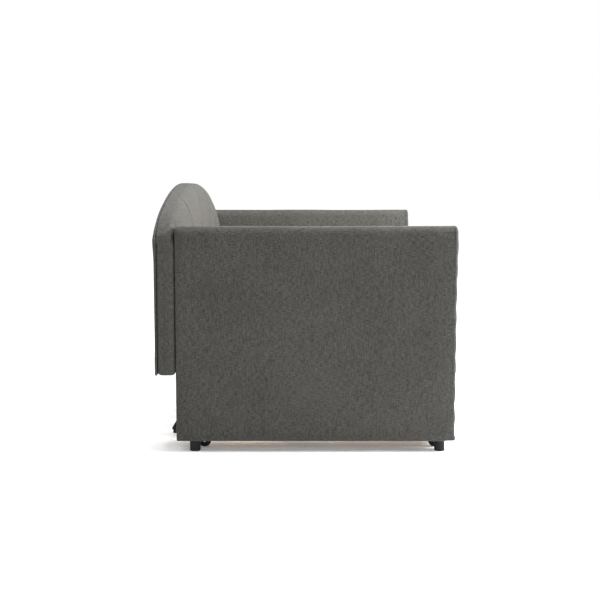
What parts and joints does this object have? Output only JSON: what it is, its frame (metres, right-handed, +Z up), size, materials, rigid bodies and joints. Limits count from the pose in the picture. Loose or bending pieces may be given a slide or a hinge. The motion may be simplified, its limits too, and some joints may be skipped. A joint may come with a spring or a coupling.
{
  "type": "trundle bed",
  "caption": "Upholstered daybed with flat arms, a long arched channelled back and a low trundle that rolls out of its front.",
  "frame": {"origin": "on the floor, under the middle of the overall length and depth", "axes": "+X along the bed's length, +Y towards the back, +Z up; the trundle rolls out along -Y"},
  "size_m": [2.1, 1.106, 0.985],
  "materials": {
    "linen": "woven, matt, dark grey",
    "dust_cloth": "thin non-woven cloth, black",
    "frame_timber": "planed softwood, unfinished",
    "slat_wood": "sanded pine, unfinished",
    "foot_plastic": "satin black",
    "wheel_plastic": "satin black",
    "bumper_rubber": "moulded, matt black",
    "cap_plastic": "satin black",
    "black_steel": "black powder coat",
    "fasteners": "zinc plated"
  },
  "bodies": {
    "daybed": {"arm_cover_left": "linen", "arm_cover_right": "linen", "arm_dust_cover_left": "dust_cloth", "arm_dust_cover_right": "dust_cloth", "arm_frame_left": "frame_timber", "arm_frame_right": "frame_timber", "back_bolts": "fasteners", "back_cushion": "linen", "back_frame": "frame_timber", "back_inserts": "fasteners", "back_rear_panel": "linen", "beam_hanger_left": "black_steel", "beam_hanger_right": "black_steel", "bracket_bolts": "fasteners", "centre_beam": "black_steel", "corner_bracket_front_left": "black_steel", "corner_bracket_front_right": "black_steel", "corner_bracket_rear_left": "black_steel", "corner_bracket_rear_right": "black_steel", "deck_slat_screws": "fasteners", "deck_slats": "slat_wood", "foot_front_left": "foot_plastic", "foot_front_right": "foot_plastic", "foot_nuts": "fasteners", "foot_rear_left": "foot_plastic", "foot_rear_right": "foot_plastic", "foot_studs": "fasteners", "front_ledger": "frame_timber", "front_rail_core": "frame_timber", "front_rail_cover": "linen", "ledger_screws": "fasteners", "rear_ledger": "frame_timber"},
    "trundle": {"caster_axles": "fasteners", "caster_fork_front_left": "black_steel", "caster_fork_front_middle": "black_steel", "caster_fork_front_right": "black_steel", "caster_fork_rear_left": "black_steel", "caster_fork_rear_middle": "black_steel", "caster_fork_rear_right": "black_steel", "caster_screws": "fasteners", "panel_bolts": "fasteners", "panel_brackets": "black_steel", "trundle_cross_tube": "black_steel", "trundle_end_tube_left": "black_steel", "trundle_end_tube_right": "black_steel", "trundle_front_tube": "black_steel", "trundle_panel_core": "frame_timber", "trundle_panel_cover": "linen", "trundle_rear_tube": "black_steel", "trundle_screws": "fasteners", "trundle_slats": "slat_wood", "trundle_spine_tubes": "black_steel", "trundle_tube_caps": "cap_plastic", "rear_bumpers": "bumper_rubber"},
    "wheel_front_left": {"wheel_front_left": "wheel_plastic"},
    "wheel_front_middle": {"wheel_front_middle": "wheel_plastic"},
    "wheel_front_right": {"wheel_front_right": "wheel_plastic"},
    "wheel_rear_left": {"wheel_rear_left": "wheel_plastic"},
    "wheel_rear_middle": {"wheel_rear_middle": "wheel_plastic"},
    "wheel_rear_right": {"wheel_rear_right": "wheel_plastic"}
  },
  "joints": [
    {"name": "trundle_slide", "type": "slide", "parent": "daybed", "child": "trundle", "axis": [0, -1, 0], "range_m": [0, 1.05]},
    {"name": "wheel_front_left_spin", "type": "hinge", "parent": "trundle", "child": "wheel_front_left", "pos_m": [-0.9375, -0.489, 0.025], "axis": [1, 0, 0], "continuous": true},
    {"name": "wheel_front_middle_spin", "type": "hinge", "parent": "trundle", "child": "wheel_front_middle", "pos_m": [0, -0.489, 0.025], "axis": [1, 0, 0], "continuous": true},
    {"name": "wheel_front_right_spin", "type": "hinge", "parent": "trundle", "child": "wheel_front_right", "pos_m": [0.9375, -0.489, 0.025], "axis": [1, 0, 0], "continuous": true},
    {"name": "wheel_rear_left_spin", "type": "hinge", "parent": "trundle", "child": "wheel_rear_left", "pos_m": [-0.9375, 0.3807, 0.025], "axis": [1, 0, 0], "continuous": true},
    {"name": "wheel_rear_middle_spin", "type": "hinge", "parent": "trundle", "child": "wheel_rear_middle", "pos_m": [0, 0.3807, 0.025], "axis": [1, 0, 0], "continuous": true},
    {"name": "wheel_rear_right_spin", "type": "hinge", "parent": "trundle", "child": "wheel_rear_right", "pos_m": [0.9375, 0.3807, 0.025], "axis": [1, 0, 0], "continuous": true}
  ]
}
